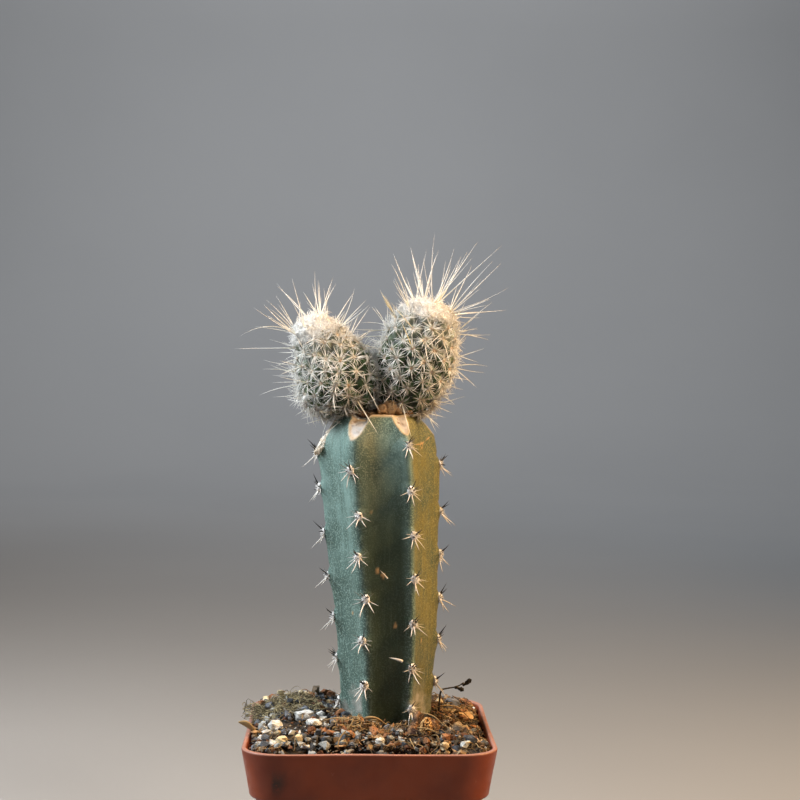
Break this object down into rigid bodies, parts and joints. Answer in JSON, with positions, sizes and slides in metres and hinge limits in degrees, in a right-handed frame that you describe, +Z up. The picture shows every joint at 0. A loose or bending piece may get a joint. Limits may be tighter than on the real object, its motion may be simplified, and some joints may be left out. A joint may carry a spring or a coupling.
{
  "type": "grafted potted cactus",
  "caption": "Grafted cactus: two white-spined woolly heads side by side on a ribbed blue-green column, in a square terracotta-coloured pot of gritty soil.",
  "frame": {"origin": "middle of the flat underside of the pot", "axes": "+Z up along the column, -Y towards the front, +X to the right seen from the front"},
  "size_m": [0.0769, 0.068, 0.1987],
  "materials": {
    "pot_plastic": "satin moulded plastic",
    "soil_grit": "gritty mix",
    "column_skin": "waxy bloom",
    "head_spines": "white spines and wool over green flesh",
    "cork": "rough cork",
    "moss": "dry fibre",
    "dry_stem": "dry bark",
    "pale_stone": "broken stone",
    "dark_stone": "broken stone",
    "tan_stone": "broken stone",
    "bark": "rough bark"
  },
  "bodies": {
    "root": {"pot": "pot_plastic", "soil_bed": "soil_grit", "column": "column_skin", "graft_callus": "cork", "head_left": "head_spines", "head_right": "head_spines", "moss_clump": "moss", "dry_sprig": "dry_stem", "stone_pumice_long": "pale_stone", "stone_white_left": "pale_stone", "stone_white_flat": "pale_stone", "stone_cream_left": "tan_stone", "stone_slate_left": "dark_stone", "stone_grey_left": "pale_stone", "stone_quartz_front": "pale_stone", "stone_black_back": "dark_stone", "bark_knot": "bark", "bark_log": "bark", "bark_chip_front": "bark", "bark_chip_right": "bark", "stone_purple_back": "dark_stone", "stone_tan_right": "tan_stone", "stone_black_right": "dark_stone", "stone_cream_right": "tan_stone"}
  },
  "joints": []
}
